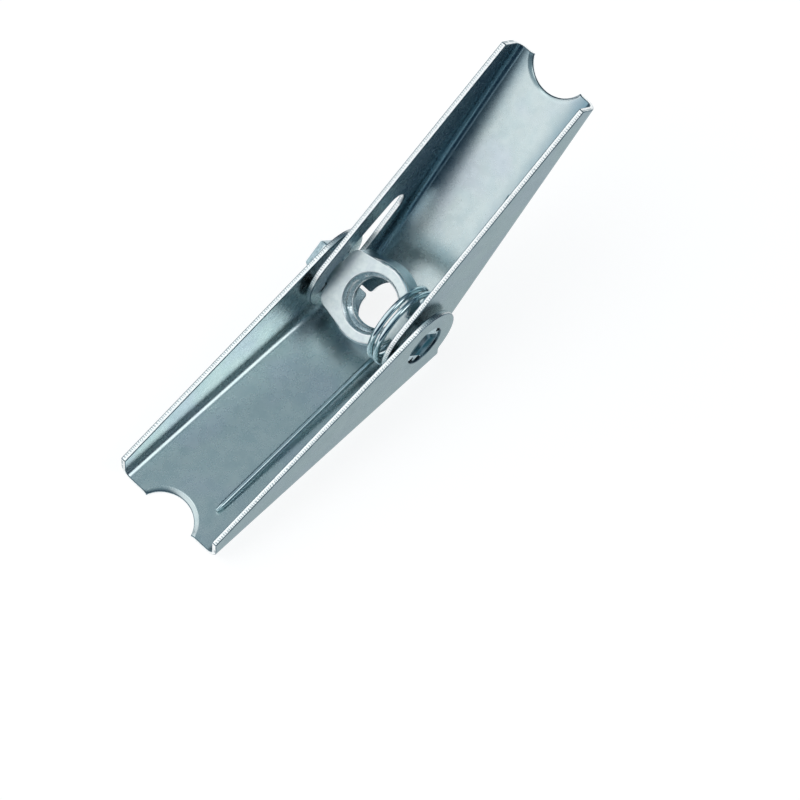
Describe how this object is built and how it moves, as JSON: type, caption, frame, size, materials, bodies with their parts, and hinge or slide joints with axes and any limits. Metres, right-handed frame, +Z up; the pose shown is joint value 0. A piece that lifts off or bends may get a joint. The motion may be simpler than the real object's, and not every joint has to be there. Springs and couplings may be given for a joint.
{
  "type": "spring toggle",
  "caption": "Spring toggle for a ceiling or cavity wall fixing: two folded steel wings that a torsion spring pushes open round a threaded cross nut.",
  "frame": {"origin": "middle of the cross nut's threaded bore, on the axis that both wings turn on", "axes": "+Z up from the table that the outer wing's back lies flat on, Y along the hinge axis with +Y towards the nut's shoulder, +X from the outer wing's tip towards the hinge"},
  "size_m": [0.091, 0.0253, 0.0412],
  "materials": {
    "wing_sheet": "blue-white zinc plate on cold-rolled sheet, glossy and faintly mottled",
    "nut": "blue-white zinc plate, satin",
    "spring_wire": "blue-white zinc plate on drawn wire, glossy"
  },
  "bodies": {
    "outer": {"outer_wing": "wing_sheet", "torsion_spring": "spring_wire"},
    "inner": {"inner_wing": "wing_sheet"},
    "nut": {"cross_nut": "nut"}
  },
  "joints": [
    {"name": "wing_fold", "type": "hinge", "parent": "outer", "child": "inner", "pos_m": [0, 0, 0], "axis": [0, -1, 0], "range_deg": [0, 148], "stiffness_Nm_per_rad": 0.126, "springref_deg": -20.05, "deforming": ["torsion_spring"]},
    {"name": "nut_swivel", "type": "hinge", "parent": "outer", "child": "nut", "pos_m": [0, 0, 0], "axis": [0, 1, 0], "range_deg": [-45, 76]}
  ]
}
